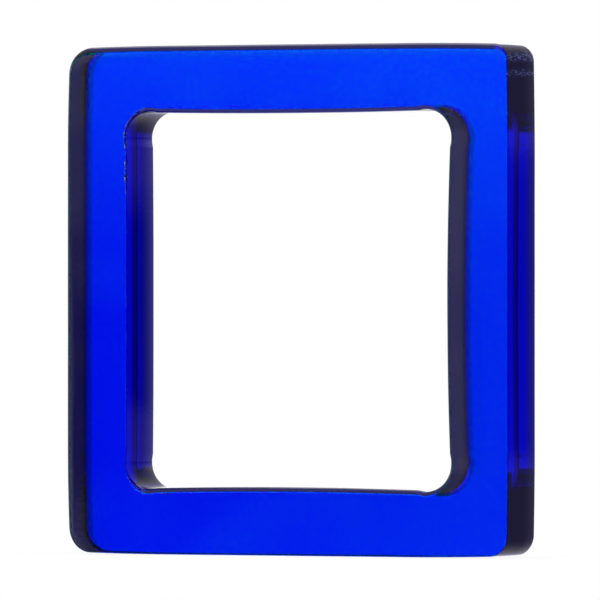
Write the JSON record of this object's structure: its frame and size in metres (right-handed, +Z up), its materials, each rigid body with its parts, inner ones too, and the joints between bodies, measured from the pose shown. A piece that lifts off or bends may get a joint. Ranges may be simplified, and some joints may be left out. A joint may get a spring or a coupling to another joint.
{
  "type": "rectangular ring",
  "caption": "Solid rectangular ring of clear deep-blue acrylic, cut from thick sheet, with a rounded rectangular opening that a napkin, strap or hand passes through.",
  "frame": {"origin": "bottom centre of the ring as it stands upright, on the surface that it stands on", "axes": "+Z up along the ring's height, +X across its width, -Y out of the front face; the opening runs along Y, through the sheet"},
  "size_m": [0.0726, 0.01, 0.0752],
  "materials": {
    "clear_blue": "clear deep-blue acrylic, polished, with softened edges and a few tool marks left at the corners"
  },
  "bodies": {
    "root": {"ring": "clear_blue"}
  },
  "joints": []
}
